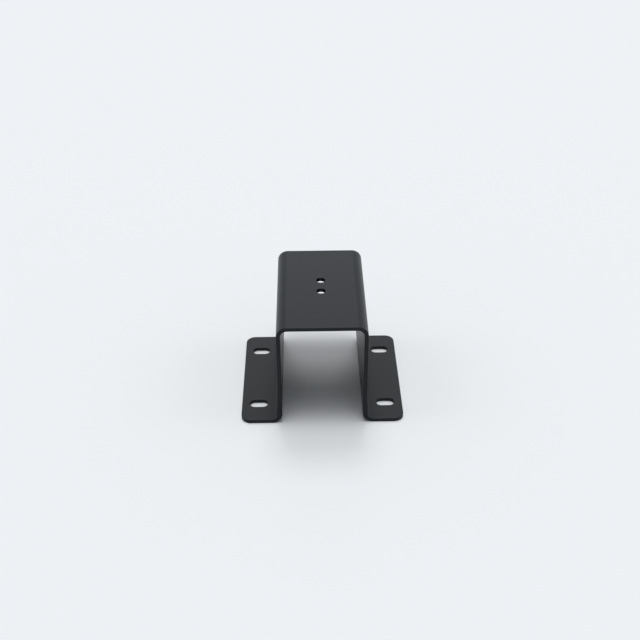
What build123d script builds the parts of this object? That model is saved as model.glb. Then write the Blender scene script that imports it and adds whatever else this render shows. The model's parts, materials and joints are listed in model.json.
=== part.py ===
"""U bracket folded from one steel sheet: a flat top, two upright walls and two outward flanges.

Frame: millimetres, +Z up, origin at the middle of the plane that both flanges stand on.
X runs across the channel, from flange to flange. Y runs along the folds, through the open channel.
"""

from build123d import *
import os

# ---- Sheet -----------------------------------------------------------------------------------------
sheet = 2.5                # steel sheet with its powder coat
bend_radius = 4.0          # inside radius of all four folds
outline_rounding = 0.3     # left by deburring and the coat along the cut outline
hole_deburr = 0.2          # light countersink on both rims of each slot and hole

# ---- Bracket ---------------------------------------------------------------------------------------
channel_width = 49.2       # clear between the walls
overall_width = 100.0      # over both flanges
overall_height = 70.0      # from the standing plane to the top face
fold_length = 90.0         # along Y, the same for the top, the walls and the flanges
flange_corner_radius = 6.0

# ---- Flange slots, one near each corner, long across the bracket -------------------------------------
slot_length = 11.5         # end to end
slot_width = 7.0           # passes an M6 screw with side play
slot_spacing_x = 79.0
slot_spacing_y = 56.8

# ---- Top holes, two in a line along Y, a little behind the middle ------------------------------------
hole_diameter = 5.5        # passes an M5 screw
hole_spacing = 12.6
hole_pair_offset = 1.6     # from the middle of the top towards +Y

# ---- Sizes that follow -----------------------------------------------------------------------------
mid_radius = bend_radius + sheet / 2               # radius of the folds at the sheet's mid-thickness
wall_x = (channel_width + sheet) / 2               # mid-thickness plane of the right wall
flange_z = sheet / 2                               # mid-thickness plane of the flanges
top_z = overall_height - sheet / 2                 # mid-thickness plane of the top
flange_end_x = overall_width / 2

# The mid-thickness line of the folded section, from one flange's end over the top to the other's.
section_corners = [
    (-flange_end_x, flange_z),
    (-wall_x, flange_z),
    (-wall_x, top_z),
    (wall_x, top_z),
    (wall_x, flange_z),
    (flange_end_x, flange_z),
]


def through_edges(edges):
    """The short edges that cross the sheet's thickness, where a straight cut meets a round one."""
    return edges.filter_by(lambda edge: abs(edge.length - sheet) < 0.01)


with BuildPart() as bracket:
    # The sheet's section: the mid line with its four folds, given the sheet's thickness.
    with BuildSketch(Plane.XZ):
        with BuildLine():
            mid_line = FilletPolyline(*section_corners, radius=mid_radius)
        trace(mid_line, line_width=sheet)
    extrude(amount=fold_length / 2, both=True)

    # Rounded outer corners on both flanges: the upright edges furthest out at each side.
    upright_edges = bracket.edges().filter_by(Axis.Z).group_by(Axis.X)
    fillet(upright_edges[0] + upright_edges[-1], radius=flange_corner_radius)

    # Both rims of the cut outline are rounded, over the folds and round the flanges. The fold lines
    # run the whole length and aren't cut edges.
    fold_lines = bracket.edges().filter_by(Axis.Y).filter_by(lambda edge: edge.length > fold_length - 0.1)
    outline_rims = bracket.edges() - fold_lines - through_edges(bracket.edges())
    fillet(outline_rims, radius=outline_rounding)

    # Four slots through the flanges.
    with BuildSketch():
        with GridLocations(slot_spacing_x, slot_spacing_y, 2, 2):
            SlotOverall(slot_length, slot_width)
    extrude(amount=sheet, mode=Mode.SUBTRACT)
    slot_edges = bracket.edges(Select.LAST)

    # Two round holes through the top.
    with Locations((0, hole_pair_offset, overall_height)):
        with GridLocations(0, hole_spacing, 1, 2):
            Hole(radius=hole_diameter / 2, depth=sheet)
    hole_edges = bracket.edges(Select.LAST)

    # Slots and holes are deburred on both sides of the sheet.
    inner_edges = slot_edges + hole_edges
    chamfer(inner_edges - through_edges(inner_edges), length=hole_deburr)

bracket.part.label = "bracket"

os.makedirs("parts", exist_ok=True)
export_step(bracket.part, "parts/bracket.step")

print(f"bracket: volume {bracket.part.volume:.0f} mm3, box {bracket.part.bounding_box().size}")
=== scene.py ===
"""A U bracket folded from one steel sheet, with its powder coat, on a pale studio floor.

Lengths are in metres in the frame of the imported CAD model: +Z up, origin at the middle of the plane
that both flanges stand on, X across the channel and Y along the folds.
"""

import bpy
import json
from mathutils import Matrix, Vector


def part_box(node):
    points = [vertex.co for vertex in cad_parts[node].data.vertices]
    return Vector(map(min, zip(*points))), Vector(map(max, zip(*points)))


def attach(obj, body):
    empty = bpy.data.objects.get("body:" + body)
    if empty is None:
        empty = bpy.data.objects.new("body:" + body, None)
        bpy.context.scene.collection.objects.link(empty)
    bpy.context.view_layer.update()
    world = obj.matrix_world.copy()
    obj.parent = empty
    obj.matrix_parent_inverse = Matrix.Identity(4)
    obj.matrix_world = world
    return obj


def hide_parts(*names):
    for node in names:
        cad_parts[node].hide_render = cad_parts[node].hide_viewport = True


bl_info = {
    "name": "Folded U bracket",
    "version": (1, 0, 0),
    "blender": (4, 5, 0),
    "location": "View3D > Sidebar > U bracket",
    "description": "Folds a powder-coated U bracket from its flat blank, and sets up a studio to see it in",
    "category": "Add Mesh",
}

import json
import math

import bpy
import numpy as np
from bpy.props import FloatProperty, FloatVectorProperty, PointerProperty, StringProperty
from mathutils import Matrix, Vector

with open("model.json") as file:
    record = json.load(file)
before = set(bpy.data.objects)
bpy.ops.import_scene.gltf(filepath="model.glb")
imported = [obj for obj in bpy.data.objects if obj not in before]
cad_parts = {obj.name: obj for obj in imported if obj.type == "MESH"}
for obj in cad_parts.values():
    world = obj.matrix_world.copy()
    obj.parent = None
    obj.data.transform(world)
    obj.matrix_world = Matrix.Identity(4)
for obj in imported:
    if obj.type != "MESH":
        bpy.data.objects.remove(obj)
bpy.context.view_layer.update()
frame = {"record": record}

NODE = "bracket"
LOW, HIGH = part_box(NODE)
MOUNTS = {mount["name"]: mount for mount in frame["record"]["mounts"]}
MM = 0.001

# How finely the blank is divided into faces.
FINE_STEP = 0.8 * MM       # round the slots and holes and at the flange corners
COARSE_STEP = 5.0 * MM     # on the flat stretches between them
FOLD_STEPS = 18            # along the quarter turn of a fold
RING_STEPS = 4             # from a slot or hole to the grid round it
RIM_STEPS = 4              # round a softened edge
SLOT_MARGIN = 2.4 * MM     # from a slot to the grid round it
STEP_SLACK = 1e-6          # share of a step that rounding may add to a stretch
WELD = 1e-4 * MM           # points this close are one

# The powder coat's finish.
GRAIN_SPREAD = 0.04        # how far the grains change the roughness, up and down
GRAIN_HEIGHT = 0.01 * MM
RIPPLE_HEIGHT = 0.03 * MM
CLOUD_SIZE = 18 * MM       # of the cloudy changes of shade
CLOUD_DEPTH = 0.12         # how far they change the colour, up and down

# The floor's finish.
TOOTH_SIZE = 1.5 * MM
TOOTH_HEIGHT = 0.01 * MM
TOOTH_DEPTH = 0.007        # how far the tooth changes the colour, up and down
BOARD_ROUGHNESS = 0.8
BOARD_SHEEN = 0.25         # where a plain lacquer has 0.5

FLOOR_REACH = 8.0          # from the bracket to the floor's edge
SOFT_BOX_SIZE = math.radians(24)   # how wide a soft box looks from the bracket
SENSOR_WIDTH = 36.0        # of the camera, in mm


# ---- Sizes and looks -------------------------------------------------------------------------------

def length(name, description, default):
    """A property that holds a length."""
    return FloatProperty(
        name=name, description=description, default=default, min=0.0, soft_max=0.5, precision=5,
        unit="LENGTH",
    )


def share(name, description, default):
    """A property that holds a number from 0 to 1."""
    return FloatProperty(
        name=name, description=description, default=default, min=0.0, max=1.0, subtype="FACTOR",
    )


def angle(name, description, degrees):
    """A property that holds an angle, given here in degrees."""
    return FloatProperty(
        name=name, description=description, default=math.radians(degrees),
        min=-math.pi, max=math.pi, subtype="ANGLE",
    )


def colour(name, description, default):
    """A property that holds a colour as an sRGB hex value."""
    return StringProperty(name=name, description=description, default=default, maxlen=7)


def stated(mount, size):
    """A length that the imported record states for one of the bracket's mounts."""
    return MOUNTS[mount]["dims"][size] * MM


class BracketSizes(bpy.types.PropertyGroup):
    """Sizes of the folded bracket."""

    overall_width: length("Overall width", "Over both flanges", HIGH.x - LOW.x)
    overall_height: length("Overall height", "From the standing plane to the top face", HIGH.z - LOW.z)
    fold_length: length("Fold length", "Length of the bracket along its folds", HIGH.y - LOW.y)
    channel_width: length("Channel width", "Clear width between the walls", 49.2 * MM)
    sheet: length("Sheet", "Thickness of the sheet with its coat", 2.5 * MM)
    bend_radius: length("Bend radius", "Inside radius of all four folds", 4.0 * MM)
    corner_radius: length("Corner radius", "Outer corners of both flanges", 6.0 * MM)
    outline_rim: length("Outline rounding", "Radius that the coat leaves along the cut outline", 0.3 * MM)
    opening_rim: length("Opening rounding", "Radius round the rims of the slots and holes", 0.2 * MM)
    slot_length: length("Slot length", "End to end", stated("flange_slots", "slot_length_mm"))
    slot_width: length("Slot width", "Across the slot", 2 * stated("flange_slots", "hole_r_mm"))
    slot_spacing_x: length(
        "Slot spacing across", "From flange to flange", stated("flange_slots", "spacing_x_mm"),
    )
    slot_spacing_y: length("Slot spacing along", "Along one flange", stated("flange_slots", "spacing_y_mm"))
    hole_diameter: length("Hole diameter", "Round holes in the top", 2 * stated("top_holes", "hole_r_mm"))
    hole_spacing: length("Hole spacing", "Between the round holes", stated("top_holes", "spacing_y_mm"))
    hole_offset: length(
        "Hole offset", "From the middle of the top back to the hole pair", MOUNTS["top_holes"]["pos_m"][1],
    )


class CoatLooks(bpy.types.PropertyGroup):
    """Colour and texture of the powder coat."""

    black: colour("Black", "Colour of the coat", "#0B1015")
    sheen: share("Sheen", "Strength of reflections, where a plain lacquer has 0.5", 0.21)
    roughness: share("Roughness", "How far the coat spreads a reflection", 0.36)
    grain: length("Grain", "Size of the fine grains that the powder leaves", 0.7 * MM)
    ripple: length("Ripple", "Length of the slow ripple where the powder flowed out", 3.0 * MM)


class StudioLooks(bpy.types.PropertyGroup):
    """Floor, light and view."""

    floor_colour: colour("Floor", "Colour of the floor", "#ECEEF0")
    room_colour: colour("Room", "Colour of the room round the floor", "#EDF1F5")
    fill: share("Fill", "Share of the floor's light that comes from all round", 0.412)
    middle_lamp: share("Middle lamp", "Share of the floor's light from straight above", 0.252)
    front_lamp: share("Front lamp", "Share from above and a little in front", 0.138)
    back_lamp: share("Back lamp", "Share from above and behind", 0.182)
    rear_lamp: share("Rear lamp", "Share from low down behind, which the top reflects", 0.0115)
    side_lamps: share("Side lamps", "Share from each of the lamps above the sides", 0.038)
    aim: FloatVectorProperty(
        name="Aim", description="Point that the camera looks at",
        default=(-0.0004, 0.01596, 0.035), size=3, precision=5, unit="LENGTH",
    )
    distance: length("Distance", "From the camera to its aim", 0.6604)
    pitch: angle("Pitch", "How far the camera looks down", 33.608)
    yaw: angle("Yaw", "How far the camera turns to its left", -0.875)
    roll: angle("Roll", "How far the camera turns about its line of sight", -0.264)
    focal_length: FloatProperty(
        name="Focal length", description="Lens on a sensor 36 mm wide", default=57.57, min=1.0,
        unit="CAMERA",
    )


# ---- The folded sheet ------------------------------------------------------------------------------
# The bracket is worked out as its flat blank, which is then folded. On the blank, s is the developed
# distance from the middle of the top, growing to the right, and y runs along the folds.

class Blank:
    """Places on the flat blank that follow from the folded bracket's sizes."""

    def __init__(self, sizes):
        self.half_sheet = sizes.sheet / 2
        self.fold_radius = sizes.bend_radius + self.half_sheet
        fold = self.fold_radius * math.pi / 2
        wall_x = sizes.channel_width / 2 + self.half_sheet
        self.top_z = sizes.overall_height - self.half_sheet
        self.top_end = wall_x - self.fold_radius
        self.wall_start = self.top_end + fold
        self.wall_length = self.top_z - self.half_sheet - 2 * self.fold_radius
        self.wall_end = self.wall_start + self.wall_length
        self.flange_start = self.wall_end + fold
        # A point x from the bracket's middle plane, on a flange, lies at s = x + flange_shift.
        self.flange_shift = self.flange_start - (wall_x + self.fold_radius)
        self.corner_radius = sizes.corner_radius - sizes.outline_rim
        self.end_s = sizes.overall_width / 2 + self.flange_shift - sizes.outline_rim
        self.end_y = sizes.fold_length / 2 - sizes.outline_rim
        self.corner_s = self.end_s - self.corner_radius
        self.corner_y = self.end_y - self.corner_radius


class Opening:
    """A slot, or a round hole as a slot with no straight part, and the grid cell that it stands in."""

    def __init__(self, s, y, half_straight, radius, margin_s, margin_y):
        self.s, self.y = s, y
        self.half_straight = half_straight
        self.radius = radius
        self.cell = (
            s - half_straight - radius - margin_s, s + half_straight + radius + margin_s,
            y - radius - margin_y, y + radius + margin_y,
        )


def openings_of(blank, sizes):
    """The four slots in the flanges and the two holes in the top."""
    slot_s = sizes.slot_spacing_x / 2 + blank.flange_shift
    slot_radius = sizes.slot_width / 2
    hole_radius = sizes.hole_diameter / 2
    hole_margin = (sizes.hole_spacing - sizes.hole_diameter) / 2
    slots = [
        Opening(s, y, sizes.slot_length / 2 - slot_radius, slot_radius, SLOT_MARGIN, SLOT_MARGIN)
        for s in (-slot_s, slot_s)
        for y in (-sizes.slot_spacing_y / 2, sizes.slot_spacing_y / 2)
    ]
    holes = [
        Opening(0.0, sizes.hole_offset + y, 0.0, hole_radius, hole_margin, hole_margin)
        for y in (-sizes.hole_spacing / 2, sizes.hole_spacing / 2)
    ]
    return slots + holes


def folded(blank, s, y, height):
    """Where points of the blank come to lie, the sheet's upward normal, and its direction of growing s.

    The line at mid-thickness runs out along the flat top, a quarter turn down, the straight wall, a
    quarter turn out and the flat flange. A turn by the angle a at the radius r goes r sin a along and
    r (1 - cos a) aside. The left half mirrors the right, and height is measured along the normal.
    """
    out, side = np.abs(s), np.sign(s)
    radius = blank.fold_radius
    turn_down = np.clip((out - blank.top_end) / radius, 0, math.pi / 2)
    down = np.clip(out - blank.wall_start, 0, blank.wall_length)
    turn_out = np.clip((out - blank.wall_end) / radius, 0, math.pi / 2)
    along = np.clip(out - blank.flange_start, 0, None)
    x = np.minimum(out, blank.top_end) + radius * np.sin(turn_down) + radius * (1 - np.cos(turn_out))
    x += along
    z = blank.top_z - radius * (1 - np.cos(turn_down)) - down - radius * np.sin(turn_out)
    lean = turn_down - turn_out
    none = np.zeros_like(lean)
    normal = np.stack([side * np.sin(lean), none, np.cos(lean)], -1)
    across = np.stack([np.cos(lean), none, -side * np.sin(lean)], -1)
    place = np.stack([side * x, y + none, z], -1) + np.expand_dims(height + none, -1) * normal
    return place, normal, across


def grid_lines(start, *stretches):
    """Grid lines from start through stretches of (end, longest step), evenly spaced in each."""
    lines = [[start]]
    for end, step in stretches:
        if end <= start:
            raise ValueError("The openings, folds and corners don't fit beside each other on the blank")
        count = math.ceil((end - start) / step - STEP_SLACK)
        lines.append(np.linspace(start, end, count + 1)[1:])
        start = end
    return np.concatenate(lines)


def blank_grid(blank, slot, hole):
    """The blank's grid lines, which run along the sides of every opening's cell.

    slot is the right rear slot, which the other three mirror. hole is the rear hole, and the cell of the
    front one lies next to its cell.
    """
    fold_step = (blank.wall_start - blank.top_end) / FOLD_STEPS
    right = grid_lines(
        0.0, (hole.cell[1], FINE_STEP), (blank.top_end, COARSE_STEP), (blank.wall_start, fold_step),
        (blank.wall_end, COARSE_STEP), (blank.flange_start, fold_step), (slot.cell[0], FINE_STEP),
        (blank.corner_s, FINE_STEP), (slot.cell[1], FINE_STEP), (blank.end_s, FINE_STEP),
    )
    s_lines = np.concatenate([-right[:0:-1], right])
    y_lines = grid_lines(
        -blank.end_y, (-blank.corner_y, FINE_STEP),
        (-slot.cell[3], COARSE_STEP), (-slot.cell[2], FINE_STEP),
        (2 * hole.cell[2] - hole.cell[3], COARSE_STEP),
        (hole.cell[2], FINE_STEP), (hole.cell[3], FINE_STEP),
        (slot.cell[2], COARSE_STEP), (slot.cell[3], FINE_STEP), (blank.corner_y, COARSE_STEP),
        (blank.end_y, FINE_STEP),
    )
    return s_lines, y_lines


def rounded_corners(blank, s, y):
    """Draws the grid's four corners in to the flange corners' radius.

    A corner square with sides u and v from 0 to 1 becomes a quarter disc: u sqrt(1 - v v / 2) and
    v sqrt(1 - u u / 2).
    """
    radius = blank.corner_radius
    u = np.clip((np.abs(s) - blank.corner_s) / radius, 0, 1)
    v = np.clip((np.abs(y) - blank.corner_y) / radius, 0, 1)
    drawn_s = s + np.sign(s) * radius * u * (np.sqrt(1 - v * v / 2) - 1)
    drawn_y = y + np.sign(y) * radius * v * (np.sqrt(1 - u * u / 2) - 1)
    return drawn_s, drawn_y


def grid_faces(rows, columns):
    """Faces of a grid as indices of its points, counted along the rows."""
    index = np.arange(rows * columns).reshape(rows, columns)
    return np.stack([index[:-1, :-1], index[1:, :-1], index[1:, 1:], index[:-1, 1:]], -1).reshape(-1, 4)


def loop_faces(steps, columns):
    """Faces of a closed band: a grid whose last row joins its first."""
    return grid_faces(steps + 1, columns) % (steps * columns)


def loop_round(first_i, last_i, first_j, last_j):
    """Grid places round a rectangle, anticlockwise from its lower right corner."""
    wide, high = last_i - first_i, last_j - first_j
    i = [
        np.full(high, last_i), np.arange(last_i, first_i, -1),
        np.full(high, first_i), np.arange(first_i, last_i),
    ]
    j = [
        np.arange(first_j, last_j), np.full(wide, last_j),
        np.arange(last_j, first_j, -1), np.full(wide, first_j),
    ]
    return np.concatenate(i), np.concatenate(j)


def both_faces(blank, s, y, faces):
    """Patches of the sheet's upper and lower face over the same points of the blank."""
    patches = []
    for side, order in ((1, 1), (-1, -1)):
        place, normal, _ = folded(blank, s, y, side * blank.half_sheet)
        patches.append((place.reshape(-1, 3), side * normal.reshape(-1, 3), faces[:, ::order]))
    return patches


def cut_edge(blank, s, y, out_s, out_y, rim):
    """The cut edge along a closed loop that has the sheet on its right.

    out_s and out_y give the direction off the sheet at each point of the loop. The edge's profile is a
    quarter round from the upper face, a straight wall and a quarter round to the lower face. At the
    angle a, a quarter round stands rim sin a off the loop and rim (1 - cos a) from its face.
    """
    a = np.linspace(0, math.pi / 2, RIM_STEPS + 1)
    stand = rim * np.sin(a)
    height = blank.half_sheet - rim * (1 - np.cos(a))
    stand = np.concatenate([stand, stand[::-1]])
    height = np.concatenate([height, -height[::-1]])
    lean_out = np.concatenate([np.sin(a), np.sin(a[::-1])])
    lean_up = np.concatenate([np.cos(a), -np.cos(a[::-1])])
    s, y, out_s, out_y = (column[:, None] for column in (s, y, out_s, out_y))
    place, normal, across = folded(blank, s + stand * out_s, y + stand * out_y, height)
    outwards = out_s[..., None] * across + out_y[..., None] * np.array([0.0, 1.0, 0.0])
    normal = lean_up[:, None] * normal + lean_out[:, None] * outwards
    return place.reshape(-1, 3), normal.reshape(-1, 3), loop_faces(len(s), len(stand))


def opening_patches(blank, opening, s, y, rim):
    """The sheet between the loop (s, y) round an opening's cell and the opening, with its cut edge.

    Each point of the loop is carried straight towards the slot's middle line, which in a round hole is
    its centre, until it is one radius and the rim away from it.
    """
    near = np.clip(s - opening.s, -opening.half_straight, opening.half_straight) + opening.s
    away_s, away_y = s - near, y - opening.y
    distance = np.hypot(away_s, away_y)
    away_s, away_y = away_s / distance, away_y / distance
    edge_s = near + away_s * (opening.radius + rim)
    edge_y = opening.y + away_y * (opening.radius + rim)
    part = np.linspace(0, 1, RING_STEPS + 1)
    ring_s = s[:, None] * (1 - part) + edge_s[:, None] * part
    ring_y = y[:, None] * (1 - part) + edge_y[:, None] * part
    ring = both_faces(blank, ring_s, ring_y, loop_faces(len(s), len(part)))
    return ring + [cut_edge(blank, edge_s, edge_y, -away_s, -away_y, rim)]


def folded_bracket(sizes):
    """The whole bracket as patches: both faces of the sheet, its outline, and its slots and holes."""
    blank = Blank(sizes)
    openings = openings_of(blank, sizes)
    s_lines, y_lines = blank_grid(blank, slot=openings[3], hole=openings[5])
    s, y = rounded_corners(blank, *np.meshgrid(s_lines, y_lines, indexing="ij"))

    patches = []
    whole = np.ones((len(s_lines) - 1, len(y_lines) - 1), bool)
    for opening in openings:
        first_i, last_i = (np.abs(s_lines - place).argmin() for place in opening.cell[:2])
        first_j, last_j = (np.abs(y_lines - place).argmin() for place in opening.cell[2:])
        whole[first_i:last_i, first_j:last_j] = False
        loop = loop_round(first_i, last_i, first_j, last_j)
        patches += opening_patches(blank, opening, s[loop], y[loop], sizes.opening_rim)
    patches += both_faces(blank, s, y, grid_faces(len(s_lines), len(y_lines))[whole.ravel()])

    # The outline is followed clockwise. Off the sheet is square to a side and away from a corner's
    # centre.
    i, j = loop_round(0, len(s_lines) - 1, 0, len(y_lines) - 1)
    s, y = s[i, j][::-1], y[i, j][::-1]
    out_s = np.sign(s) * np.clip(np.abs(s) - blank.corner_s, 0, None) / blank.corner_radius
    out_y = np.sign(y) * np.clip(np.abs(y) - blank.corner_y, 0, None) / blank.corner_radius
    return patches + [cut_edge(blank, s, y, out_s, out_y, sizes.outline_rim)]


def surface(name, patches):
    """A smooth mesh object from patches of (points, normals, faces).

    Points that coincide are merged, and points that no face uses are left out.
    """
    starts = np.cumsum([0] + [len(points) for points, _, _ in patches])
    points = np.concatenate([points for points, _, _ in patches])
    normals = np.concatenate([normals for _, normals, _ in patches])
    faces = np.concatenate([faces + start for (_, _, faces), start in zip(patches, starts)])
    used = np.unique(faces)
    places = np.round(points[used] / WELD).astype(np.int64)
    _, first, merged = np.unique(places, axis=0, return_index=True, return_inverse=True)
    corners = merged.reshape(-1)[np.searchsorted(used, faces)]
    kept = used[first]
    mesh = bpy.data.meshes.new(name)
    mesh.from_pydata(points[kept].tolist(), [], corners.tolist())
    mesh.shade_smooth()
    mesh.normals_split_custom_set_from_vertices(normals[kept].tolist())
    made = bpy.data.objects.new(name, mesh)
    bpy.context.scene.collection.objects.link(made)
    return made


# ---- Materials -------------------------------------------------------------------------------------

def linear(hex_colour):
    """An sRGB hex colour as linear RGBA."""
    srgb = np.array([int(hex_colour[i:i + 2], 16) for i in (1, 3, 5)]) / 255
    rgb = np.where(srgb <= 0.04045, srgb / 12.92, ((srgb + 0.055) / 1.055) ** 2.4)
    return (*rgb.tolist(), 1.0)


def tinted(hex_colour, times):
    """An sRGB hex colour made so many times as light, as linear RGBA."""
    *rgb, alpha = linear(hex_colour)
    return (*(channel * times for channel in rgb), alpha)


def add_node(tree, kind, inputs=None, **settings):
    """Adds a node. inputs gives a socket, by name or number, its value or the output that it reads."""
    node = tree.nodes.new(kind)
    for name, value in settings.items():
        setattr(node, name, value)
    for socket, value in (inputs or {}).items():
        if isinstance(value, bpy.types.NodeSocket):
            tree.links.new(value, node.inputs[socket])
        else:
            node.inputs[socket].default_value = value
    return node


def new_material(name):
    """An empty node material and its tree."""
    material = bpy.data.materials.new(name)
    material.use_nodes = True
    material.node_tree.nodes.clear()
    return material, material.node_tree


def black_powder_coat(looks):
    """Black polyester powder coat, sprayed dry on the bare steel and baked.

    The melted powder leaves a satin skin: a fine grain that spreads reflections, and a slow ripple, the
    orange peel, where it flowed out before it set. The colour is even, and its shade clouds a little.
    """
    material, tree = new_material("black_polyester_powder_coat")
    place = add_node(tree, "ShaderNodeTexCoord").outputs["Object"]
    grain = add_node(
        tree, "ShaderNodeTexNoise",
        {"Vector": place, "Scale": 1 / looks.grain, "Detail": 2.0, "Roughness": 0.55},
    ).outputs[0]
    ripple = add_node(
        tree, "ShaderNodeTexNoise",
        {"Vector": place, "Scale": 1 / looks.ripple, "Detail": 1.0, "Roughness": 0.4},
    ).outputs[0]
    clouds = add_node(
        tree, "ShaderNodeTexNoise", {"Vector": place, "Scale": 1 / CLOUD_SIZE, "Detail": 2.0},
    ).outputs[0]

    dark, light = (tinted(looks.black, times) for times in (1 - CLOUD_DEPTH, 1 + CLOUD_DEPTH))
    shade = add_node(
        tree, "ShaderNodeMix", {0: clouds, 6: dark, 7: light}, data_type="RGBA",
    ).outputs[2]
    # The noise rarely leaves the range from 0.3 to 0.7.
    roughness = add_node(
        tree, "ShaderNodeMapRange",
        {
            "Value": grain, "From Min": 0.3, "From Max": 0.7,
            "To Min": looks.roughness - GRAIN_SPREAD, "To Max": looks.roughness + GRAIN_SPREAD,
        },
    ).outputs[0]
    waves = add_node(
        tree, "ShaderNodeBump", {"Height": ripple, "Distance": RIPPLE_HEIGHT, "Strength": 1.0},
    )
    grains = add_node(
        tree, "ShaderNodeBump",
        {"Height": grain, "Distance": GRAIN_HEIGHT, "Strength": 1.0, "Normal": waves.outputs[0]},
    )
    shader = add_node(
        tree, "ShaderNodeBsdfPrincipled",
        {
            "Base Color": shade, "Roughness": roughness,
            "Specular IOR Level": looks.sheen, "Normal": grains.outputs[0],
        },
    )
    add_node(tree, "ShaderNodeOutputMaterial", {"Surface": shader.outputs[0]})
    return material


def matt_board(looks):
    """White matt laminate board: it scatters nearly all the light and has the faintest tooth."""
    material, tree = new_material("white_matt_board")
    place = add_node(tree, "ShaderNodeTexCoord").outputs["Object"]
    tooth = add_node(
        tree, "ShaderNodeTexNoise", {"Vector": place, "Scale": 1 / TOOTH_SIZE, "Detail": 2.0},
    ).outputs[0]
    dark, light = (tinted(looks.floor_colour, times) for times in (1 - TOOTH_DEPTH, 1 + TOOTH_DEPTH))
    shade = add_node(
        tree, "ShaderNodeMix", {0: tooth, 6: dark, 7: light}, data_type="RGBA",
    ).outputs[2]
    bump = add_node(tree, "ShaderNodeBump", {"Height": tooth, "Distance": TOOTH_HEIGHT})
    shader = add_node(
        tree, "ShaderNodeBsdfPrincipled",
        {
            "Base Color": shade, "Roughness": BOARD_ROUGHNESS,
            "Specular IOR Level": BOARD_SHEEN, "Normal": bump.outputs[0],
        },
    )
    add_node(tree, "ShaderNodeOutputMaterial", {"Surface": shader.outputs[0]})
    return material


# ---- Studio ----------------------------------------------------------------------------------------

def white_floor(looks):
    """A level floor, wide enough to fill every view."""
    reach = np.linspace(-FLOOR_REACH, FLOOR_REACH, 3)
    x, y = np.meshgrid(reach, reach, indexing="ij")
    points = np.stack([x, y, np.zeros_like(x)], -1).reshape(-1, 3)
    normals = np.tile([0.0, 0.0, 1.0], (len(points), 1))
    floor = surface("floor", [(points, normals, grid_faces(3, 3))])
    floor.data.materials.append(matt_board(looks))
    return floor


def soft_box(name, share_of_light, lean_right, lean_back):
    """A round soft box above, far enough away to light the floor evenly, with its share of that light.

    Its two leans are in degrees from straight above, to the right and to the back.
    """
    lamp = bpy.data.lights.new(name, "SUN")
    lamp.angle = SOFT_BOX_SIZE
    lean = [math.tan(math.radians(degrees)) for degrees in (lean_right, lean_back)]
    towards = Vector((*lean, 1.0)).normalized()
    lamp.energy = share_of_light * math.pi / towards.z
    made = bpy.data.objects.new(name, lamp)
    made.rotation_euler = towards.to_track_quat("Z", "Y").to_euler()
    made.location = towards
    bpy.context.scene.collection.objects.link(made)


def pale_room(looks):
    """The room round the floor.

    Seen directly, in a reflection or through something it is plain and pale. On the floor it casts only
    the fill light, so that the lamps' shadows stay.
    """
    world = bpy.data.worlds.new("pale_room")
    world.use_nodes = True
    tree = world.node_tree
    tree.nodes.clear()
    pale = linear(looks.room_colour)
    fill = add_node(tree, "ShaderNodeBackground", {"Color": pale, "Strength": looks.fill})
    seen = add_node(tree, "ShaderNodeBackground", {"Color": pale, "Strength": 1.0})
    ray = add_node(tree, "ShaderNodeLightPath").outputs
    direct = add_node(
        tree, "ShaderNodeMath", {0: ray["Is Camera Ray"], 1: ray["Is Glossy Ray"]}, operation="MAXIMUM",
    ).outputs[0]
    direct = add_node(
        tree, "ShaderNodeMath", {0: direct, 1: ray["Is Transmission Ray"]}, operation="MAXIMUM",
    ).outputs[0]
    light = add_node(tree, "ShaderNodeMixShader", {0: direct, 1: fill.outputs[0], 2: seen.outputs[0]})
    add_node(tree, "ShaderNodeOutputWorld", {"Surface": light.outputs[0]})
    return world


def studio_camera(looks):
    """The camera, turned by its yaw about Z, its pitch about X and its roll about its line of sight."""
    camera = bpy.data.cameras.new("camera")
    camera.sensor_width = SENSOR_WIDTH
    camera.lens = looks.focal_length
    camera.clip_start, camera.clip_end = 0.01, 100.0
    made = bpy.data.objects.new("camera", camera)
    turn = (
        Matrix.Rotation(looks.yaw, 4, "Z")
        @ Matrix.Rotation(math.pi / 2 - looks.pitch, 4, "X")
        @ Matrix.Rotation(looks.roll, 4, "Z")
    )
    backwards = turn.to_3x3() @ Vector((0.0, 0.0, 1.0))
    made.matrix_world = Matrix.Translation(Vector(looks.aim) + backwards * looks.distance) @ turn
    bpy.context.scene.collection.objects.link(made)
    return made


# ---- Add-on ----------------------------------------------------------------------------------------

class BRACKET_OT_fold(bpy.types.Operator):
    """Fold the bracket from its blank and give it its powder coat"""

    bl_idname = "u_bracket.fold"
    bl_label = "Folded bracket"

    def execute(self, context):
        bracket = surface("folded_bracket", folded_bracket(context.scene.bracket_sizes))
        bracket.data.materials.append(black_powder_coat(context.scene.coat_looks))
        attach(bracket, "root")
        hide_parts(NODE)
        return {"FINISHED"}


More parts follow.
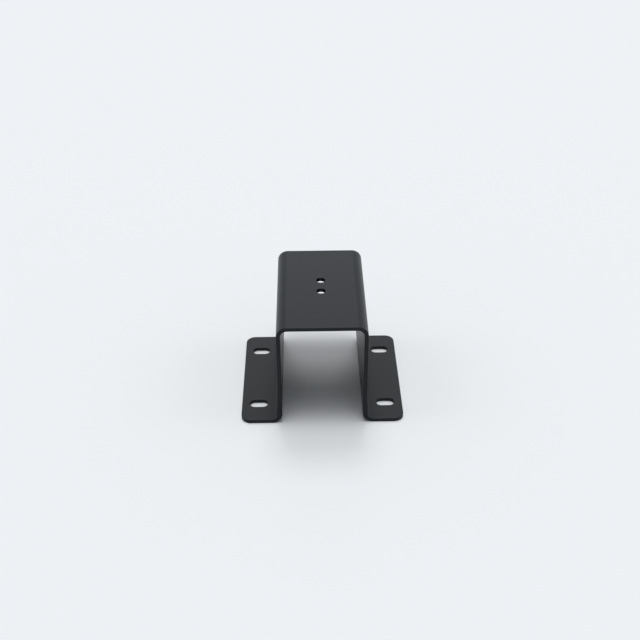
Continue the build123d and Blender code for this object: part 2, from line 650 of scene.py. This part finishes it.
class BRACKET_OT_studio(bpy.types.Operator):
    """Set up the floor, the light and the camera"""

    bl_idname = "u_bracket.studio"
    bl_label = "Studio"

    def execute(self, context):
        scene = context.scene
        looks = scene.studio_looks
        white_floor(looks)
        soft_box("middle_soft_box", looks.middle_lamp, lean_right=0, lean_back=0)
        soft_box("front_soft_box", looks.front_lamp, lean_right=0, lean_back=-10)
        soft_box("back_soft_box", looks.back_lamp, lean_right=0, lean_back=28)
        soft_box("rear_soft_box", looks.rear_lamp, lean_right=0, lean_back=60)
        soft_box("left_soft_box", looks.side_lamps, lean_right=-50, lean_back=0)
        soft_box("right_soft_box", looks.side_lamps, lean_right=50, lean_back=0)
        scene.world = pale_room(looks)
        scene.camera = studio_camera(looks)
        scene.view_settings.view_transform = "Standard"
        return {"FINISHED"}


class BRACKET_PT_sidebar(bpy.types.Panel):
    """Sizes and looks of the bracket and its studio"""

    bl_label = "Folded U bracket"
    bl_idname = "BRACKET_PT_sidebar"
    bl_space_type = "VIEW_3D"
    bl_region_type = "UI"
    bl_category = "U bracket"

    def draw(self, context):
        for operator, group in (
            (BRACKET_OT_fold, context.scene.bracket_sizes),
            (BRACKET_OT_fold, context.scene.coat_looks),
            (BRACKET_OT_studio, context.scene.studio_looks),
        ):
            box = self.layout.box()
            # The first two are rna_type and name, which every group has.
            for name in group.bl_rna.properties.keys()[2:]:
                box.prop(group, name)
            box.operator(operator.bl_idname)


CLASSES = (BracketSizes, CoatLooks, StudioLooks, BRACKET_OT_fold, BRACKET_OT_studio, BRACKET_PT_sidebar)


def register():
    for cls in CLASSES:
        bpy.utils.register_class(cls)
    bpy.types.Scene.bracket_sizes = PointerProperty(type=BracketSizes)
    bpy.types.Scene.coat_looks = PointerProperty(type=CoatLooks)
    bpy.types.Scene.studio_looks = PointerProperty(type=StudioLooks)


def unregister():
    del bpy.types.Scene.bracket_sizes
    del bpy.types.Scene.coat_looks
    del bpy.types.Scene.studio_looks
    for cls in reversed(CLASSES):
        bpy.utils.unregister_class(cls)


def main():
    """Makes everything in order."""
    register()
    bpy.ops.u_bracket.fold()
    bpy.ops.u_bracket.studio()


if __name__ == "__main__":
    main()
